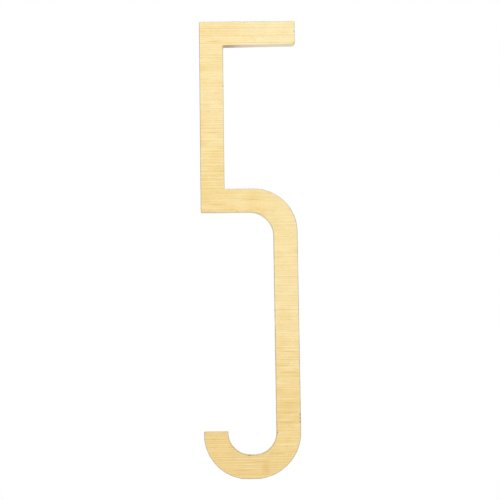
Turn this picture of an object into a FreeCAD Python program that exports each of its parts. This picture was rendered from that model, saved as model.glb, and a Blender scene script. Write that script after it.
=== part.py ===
import FreeCAD, Part
import math
import os

import Sketcher

# A slim door numeral 5, cut in one piece from flat brass plate.
# Frame: +Z up the numeral, front face towards -Y, back face on the door at y = 0.
# The origin is on the back face, at half the width, on the line that the foot stands on.
# All sizes are in millimetres.

NODE = "numeral_five"

# Alias, value and meaning of each driving size.
SIZES = (
    ("overall_height", "152", "foot line to top edge"),
    ("numeral_width", "32", "left edge of the upper stem to right edge of the bowl"),
    ("plate_thickness", "3", "back face to front face"),
    ("stem_width", "8", "stroke of the upper stem"),
    ("top_bar_height", "8", "stroke of the top bar"),
    ("top_bar_length", "32.3", "left edge of the upper stem to the top bar's end"),
    ("middle_bar_top", "95", "foot line to the middle bar's upper edge"),
    ("middle_bar_height", "7.8", "stroke of the middle bar"),
    ("bowl_outer_radius", "14.5", "outside of the turn from middle bar to lower stem"),
    ("bowl_inner_radius", "8", "inside of the same turn"),
    ("lower_stem_width", "8", "stroke of the lower stem"),
    ("hook_tip_inset", "0.4", "how far the hook's tip stands in from the upper stem's left edge"),
    ("hook_bar_height", "7.7", "stroke of the hook at the foot"),
    ("hook_tip_width", "7.9", "stroke of the hook at its tip"),
    ("hook_heel_radius", "15.1", "outside of the turn from lower stem to foot"),
    ("hook_foot_flat", "2.1", "straight run of the foot between heel and toe"),
    ("hook_inner_flat", "1.3", "straight run of the hook's inside floor"),
    ("hook_tip_rise", "0.1", "straight run of the tip between its curves and its corners"),
    ("corner_radius", "0.3", "rounding of the outline's sharp corners"),
    ("arris_radius", "0.2", "easing of the front face's edges"),
)

# Sizes that follow from the driving ones: the hook's other curves take up what its straight runs leave.
HOOK_WIDTH = "(Sizes.numeral_width - Sizes.hook_tip_inset)"
TOE_RADIUS = f"({HOOK_WIDTH} - Sizes.hook_heel_radius - Sizes.hook_foot_flat)"
HOOK_GAP = f"({HOOK_WIDTH} - Sizes.lower_stem_width - Sizes.hook_tip_width)"
HOOK_INNER_RADIUS = f"(({HOOK_GAP} - Sizes.hook_inner_flat) / 2)"
TIP_CURVES = f"max({TOE_RADIUS}; Sizes.hook_bar_height + {HOOK_INNER_RADIUS})"
TIP_HEIGHT = f"{TIP_CURVES} + Sizes.hook_tip_rise + Sizes.corner_radius"

# Edges of the outline, clockwise from the top edge.
(TOP, BAR_END, BAR_UNDER, STEM_RIGHT, MIDDLE_TOP, BOWL_OUTER, LOWER_OUTER, HEEL, FOOT, TOE,
 TIP_OUTER, TIP_END, TIP_INNER, HOOK_TIP_SIDE, HOOK_FLOOR, HOOK_STEM_SIDE, LOWER_INNER,
 BOWL_INNER, MIDDLE_UNDER, STEM_LEFT) = range(20)

LEVEL_EDGES = (TOP, BAR_UNDER, MIDDLE_TOP, FOOT, TIP_END, HOOK_FLOOR, MIDDLE_UNDER)
UPRIGHT_EDGES = (BAR_END, STEM_RIGHT, LOWER_OUTER, TIP_OUTER, TIP_INNER, LOWER_INNER, STEM_LEFT)
STRAIGHT_EDGES = LEVEL_EDGES + UPRIGHT_EDGES
# The outside curves, which the way round the outline follows clockwise. The inside curves run the other way.
OUTSIDE_CURVES = (BOWL_OUTER, HEEL, TOE)

# Which point of a sketch edge a constraint takes, and the sketch's own origin and level axis.
START, END = 1, 2
ORIGIN = (-1, 1)
LEVEL_AXIS = -1

# How close two places have to be to count as one.
SAME_PLACE = 1e-6


def add_sizes(doc):
    """The sheet of driving sizes: name, number and meaning on each row."""
    sheet = doc.addObject("Spreadsheet::Sheet", "Sizes")
    for row, (alias, value, meaning) in enumerate(SIZES, start=1):
        sheet.set(f"A{row}", alias)
        sheet.set(f"B{row}", value)
        sheet.setAlias(f"B{row}", alias)
        sheet.set(f"C{row}", meaning)
    doc.recompute()
    return sheet


def outline_points(sheet):
    """Where each edge of the outline begins, in the order of the edge names, as (x, z) on the plate."""
    right = sheet.numeral_width / 2
    left = -right
    top = sheet.overall_height
    bar_under = top - sheet.top_bar_height
    bar_end = left + sheet.top_bar_length
    stem = left + sheet.stem_width
    middle = sheet.middle_bar_top
    middle_under = middle - sheet.middle_bar_height
    bowl_out = sheet.bowl_outer_radius
    bowl_in = sheet.bowl_inner_radius
    inner = right - sheet.lower_stem_width
    heel = sheet.hook_heel_radius
    tip = left + sheet.hook_tip_inset
    toe = right - tip - heel - sheet.hook_foot_flat
    tip_in = tip + sheet.hook_tip_width
    hook_in = (inner - tip_in - sheet.hook_inner_flat) / 2
    floor = sheet.hook_bar_height
    tip_top = max(toe, floor + hook_in) + sheet.hook_tip_rise + sheet.corner_radius
    return (
        (left, top),
        (bar_end, top),
        (bar_end, bar_under),
        (stem, bar_under),
        (stem, middle),
        (right - bowl_out, middle),
        (right, middle - bowl_out),
        (right, heel),
        (right - heel, 0),
        (tip + toe, 0),
        (tip, toe),
        (tip, tip_top),
        (tip_in, tip_top),
        (tip_in, floor + hook_in),
        (tip_in + hook_in, floor),
        (inner - hook_in, floor),
        (inner, floor + hook_in),
        (inner, middle_under - bowl_in),
        (inner - bowl_in, middle_under),
        (left, middle_under),
    )


def quarter_arc(begin, finish, leaves_level_edge, clockwise):
    """A quarter circle that turns from a level edge to an upright one, or the other way."""
    centre = (begin[0], finish[1]) if leaves_level_edge else (finish[0], begin[1])
    angles = [math.atan2(end[1] - centre[1], end[0] - centre[0]) for end in (begin, finish)]
    if clockwise:
        angles.reverse()
    circle = Part.Circle(FreeCAD.Vector(*centre), FreeCAD.Vector(0, 0, 1), math.dist(centre, begin))
    return Part.ArcOfCircle(circle, *angles)


def draw_outline(sketch, points):
    """The outline's straight edges and quarter arcs."""
    for edge, begin in enumerate(points):
        finish = points[(edge + 1) % len(points)]
        if edge in STRAIGHT_EDGES:
            sketch.addGeometry(Part.LineSegment(FreeCAD.Vector(*begin), FreeCAD.Vector(*finish)))
        else:
            leaves_level_edge = edge - 1 in LEVEL_EDGES
            sketch.addGeometry(quarter_arc(begin, finish, leaves_level_edge, edge in OUTSIDE_CURVES))


def join_outline(sketch):
    """Level and upright edges, meeting at corners or running smoothly into the curves."""
    count = len(sketch.Geometry)
    for edge in range(count):
        following = (edge + 1) % count
        finish = START if edge in OUTSIDE_CURVES else END
        begin = END if following in OUTSIDE_CURVES else START
        both_straight = edge in STRAIGHT_EDGES and following in STRAIGHT_EDGES
        meeting = "Coincident" if both_straight else "Tangent"
        sketch.addConstraint(Sketcher.Constraint(meeting, edge, finish, following, begin))
    for edge in LEVEL_EDGES:
        sketch.addConstraint(Sketcher.Constraint("Horizontal", edge))
    for edge in UPRIGHT_EDGES:
        sketch.addConstraint(Sketcher.Constraint("Vertical", edge))
    sketch.addConstraint(Sketcher.Constraint("PointOnObject", FOOT, START, LEVEL_AXIS))


def bind(sketch, name, constraint, expression):
    """Adds a named dimension that takes its value from the sheet."""
    index = sketch.addConstraint(constraint)
    sketch.renameConstraint(index, name)
    sketch.setExpression(f"Constraints.{name}", expression)


def size_outline(sketch):
    """The dimensions that fix the outline."""
    curves = (
        ("bowl_outer_radius", BOWL_OUTER, "Sizes.bowl_outer_radius"),
        ("bowl_inner_radius", BOWL_INNER, "Sizes.bowl_inner_radius"),
        ("heel_radius", HEEL, "Sizes.hook_heel_radius"),
        ("toe_radius", TOE, TOE_RADIUS),
        ("hook_radius_at_tip", HOOK_TIP_SIDE, HOOK_INNER_RADIUS),
        ("hook_radius_at_stem", HOOK_STEM_SIDE, HOOK_INNER_RADIUS),
    )
    for name, edge, expression in curves:
        bind(sketch, name, Sketcher.Constraint("Radius", edge, sketch.Geometry[edge].Radius), expression)

    across = (
        ("left_half", (STEM_LEFT, START), ORIGIN, "Sizes.numeral_width / 2"),
        ("right_half", ORIGIN, (LOWER_OUTER, START), "Sizes.numeral_width / 2"),
        ("top_bar_length", (TOP, START), (TOP, END), "Sizes.top_bar_length"),
        ("stem_width", (STEM_LEFT, END), (STEM_RIGHT, START), "Sizes.stem_width"),
        ("lower_stem_width", (LOWER_INNER, START), (LOWER_OUTER, END), "Sizes.lower_stem_width"),
        ("hook_tip_inset", (STEM_LEFT, START), (TIP_OUTER, END), "Sizes.hook_tip_inset"),
        ("hook_tip_width", (TIP_END, START), (TIP_END, END), "Sizes.hook_tip_width"),
    )
    for name, first, second, expression in across:
        width = (sketch.getPoint(*second) - sketch.getPoint(*first)).x
        bind(sketch, name, Sketcher.Constraint("DistanceX", *first, *second, width), expression)

    upwards = (
        ("overall_height", ORIGIN, (TOP, START), "Sizes.overall_height"),
        ("top_bar_height", (BAR_END, END), (BAR_END, START), "Sizes.top_bar_height"),
        ("middle_bar_top", ORIGIN, (MIDDLE_TOP, START), "Sizes.middle_bar_top"),
        ("middle_bar_height", (MIDDLE_UNDER, END), (MIDDLE_TOP, START), "Sizes.middle_bar_height"),
        ("hook_bar_height", ORIGIN, (HOOK_FLOOR, START), "Sizes.hook_bar_height"),
        ("tip_height", ORIGIN, (TIP_END, START), TIP_HEIGHT),
    )
    for name, first, second, expression in upwards:
        height = (sketch.getPoint(*second) - sketch.getPoint(*first)).y
        bind(sketch, name, Sketcher.Constraint("DistanceY", *first, *second, height), expression)


def sharp_corners(shape):
    """Names of the edges through the plate where two flat sides meet."""
    names = []
    for number, edge in enumerate(shape.Edges, start=1):
        through_plate = abs(abs(edge.tangentAt(edge.FirstParameter).y) - 1) < SAME_PLACE
        sides = shape.ancestorsOfType(edge, Part.Face)
        if through_plate and all(isinstance(side.Surface, Part.Plane) for side in sides):
            names.append(f"Edge{number}")
    return names


def front_edges(shape):
    """Names of the edges that border the front face."""
    front = shape.BoundBox.YMin
    names = []
    for number, edge in enumerate(shape.Edges, start=1):
        if all(abs(vertex.Y - front) < SAME_PLACE for vertex in edge.Vertexes):
            names.append(f"Edge{number}")
    return names


def add_rounding(body, name, base, edges, expression):
    """Rounds the named edges of the feature before it."""
    rounding = body.newObject("PartDesign::Fillet", name)
    rounding.Base = (base, edges)
    rounding.setExpression("Radius", expression)
    body.Document.recompute()
    return rounding


def add_numeral(doc, sheet):
    """The numeral: its outline cut through the plate, corners rounded, front edges eased."""
    body = doc.addObject("PartDesign::Body", "Numeral")
    body.Label = NODE
    body.Placement = FreeCAD.Placement()
    upright_plane = next(plane for plane in body.Origin.OriginFeatures if plane.Role == "XZ_Plane")
    sketch = body.newObject("Sketcher::SketchObject", "Outline")
    sketch.AttachmentSupport = [(upright_plane, "")]
    sketch.MapMode = "FlatFace"
    draw_outline(sketch, outline_points(sheet))
    join_outline(sketch)
    size_outline(sketch)
    doc.recompute()

    plate = body.newObject("PartDesign::Pad", "Plate")
    plate.Profile = sketch
    plate.setExpression("Length", "Sizes.plate_thickness")
    doc.recompute()
    corners = add_rounding(body, "Corners", plate, sharp_corners(plate.Shape), "Sizes.corner_radius")
    add_rounding(body, "Arris", corners, front_edges(corners.Shape), "Sizes.arris_radius")
    return body


def check(doc, body, sheet):
    """Stops before anything is written if a feature failed or the solid isn't the one meant."""
    for item in doc.Objects:
        if "Invalid" in item.State or "Error" in item.State:
            raise RuntimeError(f"{item.Label} failed: {item.State}")
    if body.Shape.isNull() or not body.Shape.isValid() or len(body.Shape.Solids) != 1:
        raise RuntimeError(f"{body.Label} is not one valid solid")
    box = body.Shape.BoundBox
    if abs(box.YMax) > SAME_PLACE or abs(box.YMin + sheet.plate_thickness) > SAME_PLACE:
        raise RuntimeError(f"{body.Label} doesn't lie in front of the door plane")


def main():
    doc = FreeCAD.newDocument("DoorNumeral")
    sheet = add_sizes(doc)
    body = add_numeral(doc, sheet)
    check(doc, body, sheet)
    os.makedirs("parts", exist_ok=True)
    body.Shape.exportStep(f"parts/{body.Label}.step")
    print(f"{body.Label}: {body.Shape.Volume:.1f} cubic mm")


main()
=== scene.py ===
"""A slim brass door numeral 5: brushed face, eased and cut edges and plain back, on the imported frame."""
import math

import bpy
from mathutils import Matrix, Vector


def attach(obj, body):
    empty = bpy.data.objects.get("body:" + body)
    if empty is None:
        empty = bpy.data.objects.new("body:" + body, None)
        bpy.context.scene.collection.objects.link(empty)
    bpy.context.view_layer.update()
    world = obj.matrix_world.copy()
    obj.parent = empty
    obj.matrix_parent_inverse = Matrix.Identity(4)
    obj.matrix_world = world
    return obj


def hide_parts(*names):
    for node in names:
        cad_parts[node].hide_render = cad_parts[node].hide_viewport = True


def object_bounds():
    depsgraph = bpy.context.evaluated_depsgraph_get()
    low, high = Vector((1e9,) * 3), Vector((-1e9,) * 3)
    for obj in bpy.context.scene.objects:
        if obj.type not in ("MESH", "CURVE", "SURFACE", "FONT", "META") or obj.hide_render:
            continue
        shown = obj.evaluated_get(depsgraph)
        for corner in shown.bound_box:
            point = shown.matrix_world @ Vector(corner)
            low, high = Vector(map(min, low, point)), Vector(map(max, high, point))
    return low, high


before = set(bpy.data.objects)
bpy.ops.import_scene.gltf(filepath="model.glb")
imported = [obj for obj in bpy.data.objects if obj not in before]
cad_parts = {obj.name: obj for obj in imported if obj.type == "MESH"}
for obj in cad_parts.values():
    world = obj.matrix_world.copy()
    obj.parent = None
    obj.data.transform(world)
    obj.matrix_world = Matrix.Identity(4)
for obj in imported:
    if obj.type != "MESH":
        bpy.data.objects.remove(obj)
cad_low, cad_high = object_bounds()

NODE = "numeral_five"
MM = 0.001

# The numeral's sizes in millimetres, as its solid has them. The frame gives height, width and thickness.
STEM_WIDTH = 8.0
TOP_BAR_HEIGHT = 8.0
MIDDLE_BAR_TOP = 95.0
MIDDLE_BAR_HEIGHT = 7.8
BOWL_OUTER_RADIUS = 14.5
BOWL_INNER_RADIUS = 8.0
LOWER_STEM_WIDTH = 8.0
HOOK_TIP_INSET = 0.4
HOOK_BAR_HEIGHT = 7.7
HOOK_TIP_WIDTH = 7.9
HOOK_HEEL_RADIUS = 15.1
HOOK_FOOT_FLAT = 2.1
HOOK_INNER_FLAT = 1.3
HOOK_TIP_RISE = 0.1
CORNER_RADIUS = 0.3
# The cut under the top bar was left a little full, more so at the stem, and the corner at the bar's end
# is worn round.
BAR_ROOT_DROP = 0.3
BAR_END_DROP = 0.05
BAR_END_RADIUS = 0.9

# What the plate's tree takes, in millimetres.
PLATE_SIZES = {
    "Plate Thickness": (cad_high.y - cad_low.y) / MM,
    "Front Arris": 0.15,
    "Back Arris": 0.08,
    "Edge Step": 0.35,
    "Edge Wander": 0.04,
    "Wander Length": 1.2,
}
# Points that each rounded corner has, beside one for every step of its length.
CORNER_POINTS = 4.0
# Points of the mesh that lie nearer than this, in millimetres, become one.
SAME_POINT = 0.001
# How far a normal points, at the least, to the front or back on a flat face, and to the front on the arris.
FLAT_NORMAL = 0.999
ARRIS_NORMAL = 0.1

# Small nicks in the front edges: place on the face as (x, z), and reach along the edge.
NICKS = (
    ((16.3, 148.4), 0.6),
    ((-0.8, 152.0), 0.6),
    ((-8.0, 129.8), 0.5),
    ((-4.0, 87.2), 0.4),
    ((16.0, 144.2), 0.35),
    ((16.0, 37.5), 0.45),
    ((15.8, 20.5), 0.5),
    ((15.8, 19.3), 0.45),
    ((15.8, 18.1), 0.5),
    ((8.2, 14.8), 0.45),
    ((-0.9, 7.7), 0.5),
)
# How deep a nick bites into the edge, as a share of its reach.
NICK_DEPTH = 0.2

# Places of a colour mix node's sockets, which share their names with other kinds.
FACTOR, FIRST, SECOND, MIXED = 0, 6, 7, 2


def linear(code):
    """An sRGB hex colour as linear red, green, blue and alpha."""
    channels = [int(code[place:place + 2], 16) / 255 for place in (1, 3, 5)]
    return tuple(c / 12.92 if c <= 0.04045 else ((c + 0.055) / 1.055) ** 2.4 for c in channels) + (1.0,)


def add(tree, kind, inputs=(), out=0, stops=(), **settings):
    """Adds a node with its settings and colour stops, and returns one of its outputs.
    Each input gets a value, a link or a list of links."""
    node = tree.nodes.new(kind)
    for name, value in settings.items():
        setattr(node, name, value)
    for number, (where, code) in enumerate(stops):
        colours = node.color_ramp.elements
        stop = colours[number] if number < len(colours) else colours.new(where)
        stop.position = where
        stop.color = linear(code)
    for key, given in dict(inputs).items():
        for value in given if isinstance(given, list) else [given]:
            if isinstance(value, bpy.types.NodeSocket):
                tree.links.new(value, node.inputs[key])
            else:
                node.inputs[key].default_value = value
    return node.outputs[out] if node.outputs else None


# The shape of the numeral


def outline_corners():
    """The outline as a polygon, clockwise: each corner's place and the radius that rounds it."""
    left, top, bar_end = cad_low.x / MM, cad_high.z / MM, cad_high.x / MM
    # The bowl reaches as far from the middle as the upper stem does.
    right, foot = -left, 0.0
    bar_under = top - TOP_BAR_HEIGHT
    stem = left + STEM_WIDTH
    middle, middle_under = MIDDLE_BAR_TOP, MIDDLE_BAR_TOP - MIDDLE_BAR_HEIGHT
    inner = right - LOWER_STEM_WIDTH
    tip = left + HOOK_TIP_INSET
    tip_inner = tip + HOOK_TIP_WIDTH
    toe_radius = right - tip - HOOK_HEEL_RADIUS - HOOK_FOOT_FLAT
    hook_radius = (inner - tip_inner - HOOK_INNER_FLAT) / 2
    floor = HOOK_BAR_HEIGHT
    tip_top = max(toe_radius, floor + hook_radius) + HOOK_TIP_RISE + CORNER_RADIUS
    return (
        (left, top, CORNER_RADIUS),
        (bar_end, top, CORNER_RADIUS),
        (bar_end, bar_under - BAR_END_DROP, BAR_END_RADIUS),
        (stem, bar_under - BAR_ROOT_DROP, CORNER_RADIUS),
        (stem, middle, CORNER_RADIUS),
        (right, middle, BOWL_OUTER_RADIUS),
        (right, foot, HOOK_HEEL_RADIUS),
        (tip, foot, toe_radius),
        (tip, tip_top, CORNER_RADIUS),
        (tip_inner, tip_top, CORNER_RADIUS),
        (tip_inner, floor, hook_radius),
        (inner, floor, hook_radius),
        (inner, middle_under, BOWL_INNER_RADIUS),
        (left, middle_under, CORNER_RADIUS),
    )


def corner_mesh():
    """The corners as a loop of edges lying flat, and the nick places as loose points on the front face."""
    corners = outline_corners()
    thickness = PLATE_SIZES["Plate Thickness"]
    points = [(x * MM, z * MM, 0.0) for x, z, radius in corners]
    points += [(x * MM, z * MM, thickness * MM) for (x, z), reach in NICKS]
    edges = [(number, (number + 1) % len(corners)) for number in range(len(corners))]
    mesh = bpy.data.meshes.new("numeral_corners")
    mesh.from_pydata(points, edges, [])
    radii = [radius * MM for x, z, radius in corners] + [0.0] * len(NICKS)
    reaches = [0.0] * len(corners) + [reach * MM for place, reach in NICKS]
    for name, values in (("corner_radius", radii), ("nick_reach", reaches)):
        mesh.attributes.new(name, "FLOAT", "POINT").data.foreach_set("value", values)
    return mesh


def round_and_cut(tree, curve, radius, step):
    """Rounds a polygon's corners and cuts its straight runs into steps, so that all of it is as fine."""
    turns = add(tree, "ShaderNodeMath", {0: radius, 1: step}, operation="DIVIDE")
    count = add(tree, "ShaderNodeMath", {0: turns, 1: math.pi / 2, 2: CORNER_POINTS},
                operation="MULTIPLY_ADD")
    rounded = add(tree, "GeometryNodeFilletCurve", {"Curve": curve, "Count": count, "Radius": radius},
                  mode="POLY")
    place = add(tree, "GeometryNodeInputPosition")
    following = add(tree, "GeometryNodeOffsetPointInCurve", {"Offset": 1}, out="Point Index")
    beyond = add(tree, "GeometryNodeFieldAtIndex", {"Value": place, "Index": following},
                 data_type="FLOAT_VECTOR", domain="POINT")
    run = add(tree, "ShaderNodeVectorMath", {0: place, 1: beyond}, out="Value", operation="DISTANCE")
    cuts = add(tree, "ShaderNodeMath", {0: run, 1: step}, operation="DIVIDE")
    return add(tree, "GeometryNodeSubdivideCurve", {"Curve": rounded, "Cuts": cuts})


def edge_section(tree, given):
    """The plate's edge in section: from the face over the eased arris, down the cut side, round to the back.
    Its x runs into the plate. Its y is 0 at the back and minus the thickness at the front."""
    index = add(tree, "GeometryNodeInputIndex")
    front = add(tree, "ShaderNodeMath", {0: given["Plate Thickness"], 1: -1.0}, operation="MULTIPLY")
    places = (
        add(tree, "ShaderNodeCombineXYZ", {"X": given["Front Arris"], "Y": front}),
        add(tree, "ShaderNodeCombineXYZ", {"Y": front}),
        (0.0, 0.0, 0.0),
        add(tree, "ShaderNodeCombineXYZ", {"X": given["Back Arris"]}),
    )
    radii = (0.0, given["Front Arris"], given["Back Arris"], 0.0)
    chosen = []
    for kind, choices in (("VECTOR", places), ("FLOAT", radii)):
        switch = add(tree, "GeometryNodeIndexSwitch", {"Index": index}, data_type=kind).node
        while len(switch.index_switch_items) < len(choices):
            switch.index_switch_items.new()
        for number, choice in enumerate(choices):
            socket = switch.inputs[str(number)]
            if isinstance(choice, bpy.types.NodeSocket):
                tree.links.new(choice, socket)
            else:
                socket.default_value = choice
        chosen.append(switch.outputs[0])
    corners = add(tree, "GeometryNodeMeshLine", {"Count": len(places)})
    placed = add(tree, "GeometryNodeSetPosition", {"Geometry": corners, "Position": chosen[0]})
    line = add(tree, "GeometryNodeMeshToCurve", {"Mesh": placed})
    return round_and_cut(tree, line, chosen[1], given["Edge Step"])


def edge_offset(tree, given, points):
    """How far each point of the edge is pushed into the plate: a slight wander, and a bite at each nick."""
    place = add(tree, "GeometryNodeInputPosition")
    reach = add(tree, "GeometryNodeInputNamedAttribute", {"Name": "nick_reach"}, data_type="FLOAT")
    nearest = add(tree, "GeometryNodeSampleNearest", {"Geometry": points, "Sample Position": place})
    near_reach = add(tree, "GeometryNodeSampleIndex",
                     {"Geometry": points, "Value": reach, "Index": nearest}, data_type="FLOAT")
    away = add(tree, "GeometryNodeProximity", {0: points, "Sample Position": place}, out="Distance",
               target_element="POINTS")
    bite = add(tree, "ShaderNodeMapRange",
               {"Value": away, "From Max": near_reach, "To Min": 1.0, "To Max": 0.0},
               interpolation_type="SMOOTHSTEP")
    depth = add(tree, "ShaderNodeMath", {0: bite, 1: near_reach}, operation="MULTIPLY")
    waves = add(tree, "ShaderNodeMath", {0: 1.0, 1: given["Wander Length"]}, operation="DIVIDE")
    noise = add(tree, "ShaderNodeTexNoise", {"Vector": place, "Scale": waves}, out="Fac")
    wander = add(tree, "ShaderNodeMath", {0: noise, 1: given["Edge Wander"]}, operation="MULTIPLY")
    push = add(tree, "ShaderNodeMath", {0: depth, 1: NICK_DEPTH, 2: wander}, operation="MULTIPLY_ADD")
    inward = add(tree, "GeometryNodeInputNamedAttribute", {"Name": "inward"}, data_type="FLOAT_VECTOR")
    return add(tree, "ShaderNodeVectorMath", {0: inward, "Scale": push}, operation="SCALE")


def flat_face(tree, edge, on_its_side, height):
    """The flat face inside one rim of the swept edge, at its height."""
    neighbours = add(tree, "GeometryNodeInputMeshEdgeNeighbors")
    is_rim = add(tree, "FunctionNodeCompare", {2: neighbours, 3: 1}, data_type="INT", operation="EQUAL")
    wanted = add(tree, "FunctionNodeBooleanMath", {0: is_rim, 1: on_its_side}, operation="AND")
    rim = add(tree, "GeometryNodeMeshToCurve", {"Mesh": edge, "Selection": wanted})
    filled = add(tree, "GeometryNodeFillCurve", {"Curve": rim}, mode="TRIANGLES")
    lift = add(tree, "ShaderNodeCombineXYZ", {"Z": height})
    return add(tree, "GeometryNodeTransform", {"Geometry": filled, "Translation": lift})


def plate_tree(face, arris, side, back):
    """The plate from its corners: outline rounded, edge swept along it, both faces filled, stood upright."""
    tree = bpy.data.node_groups.new("numeral_plate", "GeometryNodeTree")
    tree.interface.new_socket("Geometry", in_out="INPUT", socket_type="NodeSocketGeometry")
    for name in PLATE_SIZES:
        tree.interface.new_socket(name, in_out="INPUT", socket_type="NodeSocketFloat")
    tree.interface.new_socket("Geometry", in_out="OUTPUT", socket_type="NodeSocketGeometry")
    given = tree.nodes.new("NodeGroupInput").outputs

    radius = add(tree, "GeometryNodeInputNamedAttribute", {"Name": "corner_radius"}, data_type="FLOAT")
    polygon = add(tree, "GeometryNodeMeshToCurve", {"Mesh": given["Geometry"]})
    outline = round_and_cut(tree, polygon, radius, given["Edge Step"])
    level = add(tree, "GeometryNodeSetCurveNormal", {"Curve": outline}, mode="Z_UP")
    normal = add(tree, "GeometryNodeInputNormal")
    path = add(tree, "GeometryNodeStoreNamedAttribute",
               {"Geometry": level, "Name": "inward", "Value": normal},
               data_type="FLOAT_VECTOR", domain="POINT")
    section = edge_section(tree, given)
    inside_out = add(tree, "GeometryNodeCurveToMesh", {"Curve": path, "Profile Curve": section})
    swept = add(tree, "GeometryNodeFlipFaces", {"Mesh": inside_out})

    reach = add(tree, "GeometryNodeInputNamedAttribute", {"Name": "nick_reach"}, data_type="FLOAT")
    is_nick = add(tree, "FunctionNodeCompare", {0: reach, 1: 0.0}, operation="GREATER_THAN")
    points = add(tree, "GeometryNodeMeshToPoints", {"Mesh": given["Geometry"], "Selection": is_nick})
    offset = edge_offset(tree, given, points)
    edge = add(tree, "GeometryNodeSetPosition", {"Geometry": swept, "Offset": offset})

    height = add(tree, "ShaderNodeSeparateXYZ", {0: add(tree, "GeometryNodeInputPosition")}, out="Z")
    half = add(tree, "ShaderNodeMath", {0: given["Plate Thickness"], 1: 0.5}, operation="MULTIPLY")
    on_front = add(tree, "FunctionNodeCompare", {0: height, 1: half}, operation="GREATER_THAN")
    on_back = add(tree, "FunctionNodeBooleanMath", {0: on_front}, operation="NOT")
    front_face = flat_face(tree, edge, on_front, given["Plate Thickness"])
    back_face = add(tree, "GeometryNodeFlipFaces", {"Mesh": flat_face(tree, edge, on_back, 0.0)})
    joined = add(tree, "GeometryNodeJoinGeometry", {"Geometry": [edge, front_face, back_face]})
    closed = add(tree, "GeometryNodeMergeByDistance", {"Geometry": joined, "Distance": SAME_POINT * MM})
    upright = add(tree, "GeometryNodeTransform", {"Geometry": closed, "Rotation": (math.pi / 2, 0.0, 0.0)})

    depthways = add(tree, "ShaderNodeSeparateXYZ", {0: normal}, out="Y")
    is_face = add(tree, "FunctionNodeCompare", {0: depthways, 1: -FLAT_NORMAL}, operation="LESS_THAN")
    is_back = add(tree, "FunctionNodeCompare", {0: depthways, 1: FLAT_NORMAL}, operation="GREATER_THAN")
    is_arris = add(tree, "FunctionNodeCompare", {0: depthways, 1: -ARRIS_NORMAL}, operation="LESS_THAN")
    is_flat = add(tree, "FunctionNodeBooleanMath", {0: is_face, 1: is_back}, operation="OR")
    is_round = add(tree, "FunctionNodeBooleanMath", {0: is_flat}, operation="NOT")
    shaded = add(tree, "GeometryNodeSetShadeSmooth", {"Geometry": upright, "Shade Smooth": is_round})
    made = add(tree, "GeometryNodeRealizeInstances", {"Geometry": shaded})
    for material, where in ((side, True), (arris, is_arris), (face, is_face), (back, is_back)):
        made = add(tree, "GeometryNodeSetMaterial",
                   {"Geometry": made, "Selection": where, "Material": material})
    add(tree, "NodeGroupOutput", {0: made})
    return tree


def make_numeral(face, arris, side, back):
    """The numeral as one plain mesh, in place of the solid's own."""
    piece = bpy.data.objects.new("numeral_five_plate", corner_mesh())
    bpy.context.scene.collection.objects.link(piece)
    tree = plate_tree(face, arris, side, back)
    modifier = piece.modifiers.new("plate", "NODES")
    modifier.node_group = tree
    for socket in tree.interface.items_tree:
        if socket.name in PLATE_SIZES:
            modifier[socket.identifier] = PLATE_SIZES[socket.name] * MM
    evaluated = piece.evaluated_get(bpy.context.evaluated_depsgraph_get())
    mesh = bpy.data.meshes.new_from_object(evaluated)
    mesh.name = "numeral_five_plate"
    # The corners have no material, which leaves an empty slot before the others.
    mesh.materials.pop(index=0)
    for name in ("corner_radius", "nick_reach", "inward"):
        mesh.attributes.remove(mesh.attributes[name])
    piece.modifiers.clear()
    piece.data = mesh
    return piece


# Finishes

# Each layer of a finish has marks that lighten and darken its colour: how far they run across the numeral,
# through the plate and up it, in millimetres, the same for the pattern that they come and go with, and how
# strong they are.

# The brush's long lines, two sets of shorter strokes among them, and faint clouds on the face. The real
# lines lie about 0.05 mm apart, too fine for the picture, so they are drawn half a millimetre apart.
BRUSHING = (
    ((400.0, 50.0, 0.31), (12.0, 50.0, 0.7), 0.25),
    ((400.0, 50.0, 0.25), (1.2, 50.0, 0.27), 0.5),
    ((400.0, 50.0, 0.21), (0.6, 50.0, 0.25), 0.46),
    ((5.0, 50.0, 4.0), None, 0.05),
)
# The cutter's lines through the plate, about half a millimetre apart round the outline.
SAWING = (
    ((0.35, 15.0, 0.35), None, 0.16),
)
# The file's specks round the arris.
FILING = (
    ((0.6, 15.0, 0.6), None, 0.4),
)
# The rolling mill's lines up the back.
ROLLING = (
    ((0.35, 50.0, 400.0), (0.8, 50.0, 30.0), 0.12),
)
# The stretch of a noise's values over which marks come and go.
COMING_AND_GOING = {"From Min": 0.35, "From Max": 0.65}
# Broad patches on the face, the edges and the back, by the same three lengths.
FACE_PATCHES = (7.0, 50.0, 2.5)
EDGE_PATCHES = (5.0, 6.0, 5.0)
BACK_PATCHES = (9.0, 50.0, 16.0)

# How rough each finish is, from the low to the high values of its pattern.
FACE_ROUGHNESS = {"To Min": 0.30, "To Max": 0.46}
ARRIS_ROUGHNESS = 0.5
SIDE_ROUGHNESS = {"To Min": 0.42, "To Max": 0.62}
BACK_ROUGHNESS = {"To Min": 0.36, "To Max": 0.56}
# How deep its marks are, in millimetres.
FACE_RELIEF = 0.004
ARRIS_RELIEF = 0.006
SIDE_RELIEF = 0.012
BACK_RELIEF = 0.004

# The face has painted light: paler upwards over this span in millimetres, and this much faster to the right.
PAINTED_LIGHT_SPAN = 180.0
PAINTED_LIGHT_SLANT = 2.6
# How far the patches shift the face along the same run of tones.
PALE_PATCHES = 1.1
FACE_TONES = (
    (0.0, "#F1D393"),
    (0.3, "#F4D999"),
    (0.42, "#F6DCA0"),
    (0.54, "#F8E1A7"),
    (0.7, "#F7E0A7"),
    (1.0, "#F9E6B4"),
)
# Painted reflection: the arris is painted grey, as if it reflected darker surroundings.
ARRIS_PAINTED_REFLECTION_TONES = ((0.3, "#8F8B80"), (0.7, "#ADAA9D"))
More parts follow.
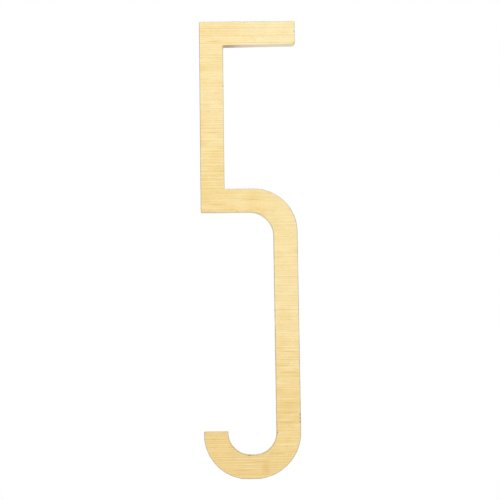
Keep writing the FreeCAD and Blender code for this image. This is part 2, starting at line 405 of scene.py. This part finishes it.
# The cut sides are darker than the face, partly their own finish and partly painted shade.
SIDE_TONES_WITH_PAINTED_SHADE = ((0.3, "#DDC58E"), (0.7, "#EAD5A6"))
BACK_TONES = ((0.3, "#CFAE6C"), (0.55, "#DDBE80"), (0.8, "#E4C98F"))

# Single strokes that stand out of the brushing, by colour: the middle (x, z) of each and half its length.
STROKES = {
    "#FFEFC2": (
        ((-12.0, 108.3), 5.0),
        ((-12.1, 103.2), 5.0),
        ((-1.3, 90.3), 5.0),
        ((-11.9, 88.4), 5.0),
        ((12.2, 25.7), 4.8),
        ((10.8, 18.9), 4.8),
        ((1.0, 6.6), 6.0),
        ((-0.8, 4.7), 4.0),
        ((-1.5, 3.45), 6.0),
    ),
    "#D6B274": (
        ((-11.3, 145.1), 5.0),
        ((-12.0, 114.0), 5.0),
        ((1.4, 91.3), 5.0),
        ((-10.6, 89.8), 4.0),
        ((12.4, 40.9), 4.8),
        ((11.1, 36.4), 4.8),
        ((12.4, 34.3), 5.0),
        ((12.2, 24.4), 4.8),
        ((12.1, 21.2), 4.8),
        ((12.1, 18.0), 4.8),
        ((8.3, 8.1), 4.4),
        ((3.1, 5.6), 4.8),
        ((-3.0, 2.9), 5.0),
    ),
}
STROKE_HALF_HEIGHT = 0.22
STROKE_STRENGTH = 0.7
# Two pale and three deep patches, a stain on the foot, a bright scratch on the heel and two specks: the
# middle (x, z) of each, its half width and half height, its colour and its strength.
FACE_MARKS = (
    ((-12.0, 125.0), (10.0, 10.0), "#FBE8BA", 0.3),
    ((12.0, 60.0), (12.0, 26.0), "#FBE7B6", 0.35),
    ((-12.0, 148.0), (10.0, 10.0), "#F5D99B", 0.3),
    ((1.0, 91.0), (10.0, 10.0), "#F3D692", 0.5),
    ((12.0, 25.0), (10.0, 10.0), "#EFCE88", 0.3),
    ((4.4, 3.6), (2.0, 4.0), "#DDB066", 0.4),
    ((11.3, 10.9), (5.5, 0.3), "#FFEFC2", 0.8),
    ((2.8, 145.5), (0.28, 0.28), "#B99A62", 0.8),
    ((11.3, 10.4), (0.28, 0.28), "#B08E58", 0.8),
)
# Painted highlights on the arris under both bars, in the bowl, by the upper stem, at the bar's end and the
# hook's tip; painted shade down the stem's left.
ARRIS_PAINTED_LIGHT_AND_SHADE = (
    ((6.0, 143.9), (26.0, 1.2), "#F2E0B2", 1.0),
    ((-4.0, 87.2), (18.0, 1.2), "#F2E2B4", 1.0),
    ((5.6, 84.8), (5.0, 5.0), "#E4D8B8", 0.9),
    ((-8.0, 118.0), (1.2, 45.0), "#CFC8B2", 0.9),
    ((16.3, 148.0), (1.2, 7.0), "#CCC7B8", 0.9),
    ((-12.0, 15.6), (6.0, 1.2), "#D6C59A", 0.9),
    ((-16.0, 118.0), (1.2, 45.0), "#837D70", 0.8),
)
# Painted shade on the cut side under the top bar: greyed along it, and darkest in the corner at the stem.
SIDE_PAINTED_SHADE = (
    ((8.0, 143.9), (30.0, 1.0), "#E6DCC8", 1.0),
    ((-4.0, 143.8), (12.0, 0.8), "#DBC9C2", 0.9),
    ((-6.6, 143.75), (5.0, 0.6), "#B39880", 0.75),
)
# Dark specks at the nicks.
NICK_COLOUR = "#8C7B66"
# Scuffs on the back: their lengths as above, the slope of each set in degrees, and the stretch of a noise's
# values over which a scuff comes up.
SCUFF_SPANS = (14.0, 50.0, 0.22)
SCUFF_SLOPES = (-35.0, 12.0, 63.0)
SCUFF_COLOUR = "#EAD7A6"
SCUFF_EDGE = {"From Min": 0.66, "From Max": 0.74}


def new_material(name):
    """An empty material, its tree, and the place of each point of the surface."""
    material = bpy.data.materials.new(name)
    material.use_nodes = True
    tree = material.node_tree
    tree.nodes.clear()
    return material, tree, add(tree, "ShaderNodeTexCoord", out="Object")


def drawn_out(tree, place, spans, slope=0.0):
    """A noise drawn out to these lengths in millimetres, and turned by this slope in the plate's plane."""
    lengths = tuple(span * MM for span in spans)
    turn = (0.0, math.radians(slope), 0.0)
    stretched = add(tree, "ShaderNodeMapping", {"Vector": place, "Rotation": turn, "Scale": lengths},
                    vector_type="TEXTURE")
    return add(tree, "ShaderNodeTexNoise", {"Vector": stretched, "Scale": 1.0}, out="Fac")


def grained(tree, place, colour, layers):
    """A colour lightened and darkened by layers of marks, and the first layer's marks for the relief."""
    patterns = []
    for spans, fading, strength in layers:
        pattern = drawn_out(tree, place, spans)
        if fading:
            press = drawn_out(tree, place, fading)
            strength = add(tree, "ShaderNodeMapRange",
                           {"Value": press, "To Max": strength, **COMING_AND_GOING})
        colour = add(tree, "ShaderNodeMix", {FACTOR: strength, FIRST: colour, SECOND: pattern}, out=MIXED,
                     data_type="RGBA", blend_type="LINEAR_LIGHT")
        patterns.append(pattern)
    return colour, patterns[0]


def marked(tree, place, colour, marks):
    """A colour with soft oval marks on it."""
    for (x, z), (half_width, half_height), code, strength in marks:
        middle = (x * MM, 0.0, z * MM)
        reach = (half_width * MM, 1.0, half_height * MM)
        oval = add(tree, "ShaderNodeMapping", {"Vector": place, "Location": middle, "Scale": reach},
                   vector_type="TEXTURE")
        inside = add(tree, "ShaderNodeTexGradient", {"Vector": oval}, out="Fac", gradient_type="SPHERICAL")
        share = add(tree, "ShaderNodeMapRange", {"Value": inside, "To Max": strength},
                    interpolation_type="SMOOTHSTEP")
        colour = add(tree, "ShaderNodeMix", {FACTOR: share, FIRST: colour, SECOND: linear(code)}, out=MIXED,
                     data_type="RGBA")
    return colour


def stroke_marks():
    """The strokes that stand out of the brushing, as marks."""
    return [
        (place, (half_length, STROKE_HALF_HEIGHT), code, STROKE_STRENGTH)
        for code, strokes in STROKES.items()
        for place, half_length in strokes
    ]


def nick_marks():
    """A dark speck at each nick, as marks."""
    return [(place, (reach, reach), NICK_COLOUR, 1.0) for place, reach in NICKS]


def finish_metal(tree, colour, roughness, height, depth):
    """A bare metal shader with this colour and roughness, and relief of this depth in millimetres."""
    relief = add(tree, "ShaderNodeBump", {"Distance": depth * MM, "Height": height})
    shader = add(tree, "ShaderNodeBsdfPrincipled",
                 {"Base Color": colour, "Metallic": 1.0, "Roughness": roughness, "Normal": relief})
    add(tree, "ShaderNodeOutputMaterial", {"Surface": shader})


def brushed_brass():
    """Brushed brass face: pale gold with fine level lines, and painted light that is paler to the upper
    right.
    """
    material, tree, place = new_material("brass_brushed_across")
    apart = add(tree, "ShaderNodeSeparateXYZ", {0: place}).node.outputs
    # Painted light: the colour runs paler up the face, and faster to the right.
    painted_light_slant = add(tree, "ShaderNodeMath", {0: apart["X"], 1: PAINTED_LIGHT_SLANT, 2: apart["Z"]},
                operation="MULTIPLY_ADD")
    lowest = -PALE_PATCHES / 2
    share = add(tree, "ShaderNodeMapRange",
                {"Value": painted_light_slant, "From Max": PAINTED_LIGHT_SPAN * MM, "To Min": lowest, "To Max": lowest + 1},
                clamp=False)
    patches = drawn_out(tree, place, FACE_PATCHES)
    patchy = add(tree, "ShaderNodeMath", {0: patches, 1: PALE_PATCHES, 2: share}, operation="MULTIPLY_ADD")
    colour = add(tree, "ShaderNodeValToRGB", {0: patchy}, stops=FACE_TONES)
    colour = marked(tree, place, colour, FACE_MARKS)
    colour, lines = grained(tree, place, colour, BRUSHING)
    colour = marked(tree, place, colour, stroke_marks())
    colour = marked(tree, place, colour, nick_marks())
    roughness = add(tree, "ShaderNodeMapRange", {"Value": lines, **FACE_ROUGHNESS})
    finish_metal(tree, colour, roughness, lines, FACE_RELIEF)
    return material


def filed_arris():
    """The arris eased round the face, with a painted grey reflection: a thin line that shows less of the
    brass.
    """
    material, tree, place = new_material("brass_arris_painted_reflection")
    patches = drawn_out(tree, place, EDGE_PATCHES)
    colour = add(tree, "ShaderNodeValToRGB", {0: patches}, stops=ARRIS_PAINTED_REFLECTION_TONES)
    colour, specks = grained(tree, place, colour, FILING)
    # Painted highlights and painted shade on the arris.
    colour = marked(tree, place, colour, ARRIS_PAINTED_LIGHT_AND_SHADE)
    colour = marked(tree, place, colour, nick_marks())
    finish_metal(tree, colour, ARRIS_ROUGHNESS, specks, ARRIS_RELIEF)
    return material


def sawn_brass():
    """The cut sides: duller than the face, partly their finish and partly painted shade, with the cutter's
    lines through the thickness.
    """
    material, tree, place = new_material("brass_saw_cut_side")
    patches = drawn_out(tree, place, EDGE_PATCHES)
    colour = add(tree, "ShaderNodeValToRGB", {0: patches}, stops=SIDE_TONES_WITH_PAINTED_SHADE)
    colour, lines = grained(tree, place, colour, SAWING)
    # Painted shade under the top bar.
    colour = marked(tree, place, colour, SIDE_PAINTED_SHADE)
    roughness = add(tree, "ShaderNodeMapRange", {"Value": lines, **SIDE_ROUGHNESS})
    finish_metal(tree, colour, roughness, lines, SIDE_RELIEF)
    return material


def rolled_brass():
    """The plate's back as it was rolled: deeper than the face, with faint lines, dull patches and scuffs."""
    material, tree, place = new_material("brass_rolled_back")
    patches = drawn_out(tree, place, BACK_PATCHES)
    colour = add(tree, "ShaderNodeValToRGB", {0: patches}, stops=BACK_TONES)
    colour, lines = grained(tree, place, colour, ROLLING)
    for slope in SCUFF_SLOPES:
        scuffs = drawn_out(tree, place, SCUFF_SPANS, slope)
        share = add(tree, "ShaderNodeMapRange", {"Value": scuffs, **SCUFF_EDGE})
        colour = add(tree, "ShaderNodeMix", {FACTOR: share, FIRST: colour, SECOND: linear(SCUFF_COLOUR)},
                     out=MIXED, data_type="RGBA")
    roughness = add(tree, "ShaderNodeMapRange", {"Value": patches, **BACK_ROUGHNESS})
    finish_metal(tree, colour, roughness, lines, BACK_RELIEF)
    return material


# Floor, light and camera

WHITE = "#FFFFFF"
# How far the floor lies below the foot, its radius, and the outer share of it over which it fades out.
FLOOR_DEPTH = 60 * MM
FLOOR_RADIUS = 330 * MM
FLOOR_FADE = 0.5
FLOOR_SIDES = 96
FLOOR_COLOUR = "#F4F3F0"
# Strength of the white surroundings as a light.
SOFT_LIGHT = 0.72
# Each lamp's place and side, in metres, and its power in watts.
LAMPS = {
    "key_lamp": ((0.15, -0.55, 1.2), 0.12, 3.6),
    "fill_lamp": ((-0.7, 0.5, 0.9), 0.6, 1.8),
}
# Where the camera stands, in millimetres, how it is turned, in degrees, its lens, and how near it sees.
CAMERA_PLACE = (-3.73, -331.96, 44.28)
CAMERA_TURN = (95.244, 0.788, -0.607)
CAMERA_LENS = 72.0
CAMERA_SENSOR = 36.0
CAMERA_NEAR = 10 * MM


def make_floor():
    """A plain pale disc below the numeral, fading out at its rim."""
    mesh = bpy.data.meshes.new("floor")
    turns = [2 * math.pi * side / FLOOR_SIDES for side in range(FLOOR_SIDES)]
    rim = [(FLOOR_RADIUS * math.cos(turn), FLOOR_RADIUS * math.sin(turn), -FLOOR_DEPTH) for turn in turns]
    mesh.from_pydata(rim, [], [range(FLOOR_SIDES)])
    floor = bpy.data.objects.new("floor", mesh)
    bpy.context.scene.collection.objects.link(floor)
    material, tree, place = new_material("pale_floor")
    shrink = (1 / FLOOR_RADIUS, 1 / FLOOR_RADIUS, 0.0)
    flat = add(tree, "ShaderNodeMapping", {"Vector": place, "Scale": shrink})
    middle = add(tree, "ShaderNodeTexGradient", {"Vector": flat}, out="Fac", gradient_type="SPHERICAL")
    solid = add(tree, "ShaderNodeMapRange", {"Value": middle, "From Max": FLOOR_FADE},
                interpolation_type="SMOOTHSTEP")
    matt = add(tree, "ShaderNodeBsdfDiffuse", {"Color": linear(FLOOR_COLOUR)})
    clear = add(tree, "ShaderNodeBsdfTransparent")
    mixed = add(tree, "ShaderNodeMixShader", {0: solid, 1: clear, 2: matt})
    add(tree, "ShaderNodeOutputMaterial", {"Surface": mixed})
    mesh.materials.append(material)


def make_world():
    """White to the camera and in the metal, and a plain soft light on everything else."""
    world = bpy.data.worlds.new("white_studio")
    bpy.context.scene.world = world
    world.use_nodes = True
    tree = world.node_tree
    tree.nodes.clear()
    rays = add(tree, "ShaderNodeLightPath").node.outputs
    seen = add(tree, "ShaderNodeMath", {0: rays["Is Camera Ray"], 1: rays["Is Glossy Ray"]},
               operation="MAXIMUM")
    shown = add(tree, "ShaderNodeMath", {0: seen, 1: rays["Is Transmission Ray"]}, operation="MAXIMUM")
    light = add(tree, "ShaderNodeBackground", {"Color": linear(WHITE), "Strength": SOFT_LIGHT})
    white = add(tree, "ShaderNodeBackground", {"Color": linear(WHITE), "Strength": 1.0})
    chosen = add(tree, "ShaderNodeMixShader", {0: shown, 1: light, 2: white})
    add(tree, "ShaderNodeOutputWorld", {"Surface": chosen})


def make_lamp(name, place, side, power):
    """A square soft lamp that looks at the middle of the numeral."""
    lamp = bpy.data.lights.new(name, "AREA")
    lamp.size = side
    lamp.energy = power
    holder = bpy.data.objects.new(name, lamp)
    holder.location = place
    towards = (cad_low + cad_high) / 2 - Vector(place)
    holder.rotation_euler = towards.to_track_quat("-Z", "Y").to_euler()
    bpy.context.scene.collection.objects.link(holder)


def make_camera():
    """The camera, below the middle of the numeral and looking slightly up at it."""
    lens = bpy.data.cameras.new("camera")
    lens.sensor_width = CAMERA_SENSOR
    lens.lens = CAMERA_LENS
    lens.clip_start = CAMERA_NEAR
    camera = bpy.data.objects.new("camera", lens)
    camera.location = [length * MM for length in CAMERA_PLACE]
    camera.rotation_euler = [math.radians(angle) for angle in CAMERA_TURN]
    bpy.context.scene.collection.objects.link(camera)
    bpy.context.scene.camera = camera


numeral = make_numeral(brushed_brass(), filed_arris(), sawn_brass(), rolled_brass())
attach(numeral, "root")
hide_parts(NODE)

make_floor()
make_world()
for lamp_name, (lamp_place, lamp_side, lamp_power) in LAMPS.items():
    make_lamp(lamp_name, lamp_place, lamp_side, lamp_power)
make_camera()
bpy.context.scene.view_settings.view_transform = "Standard"
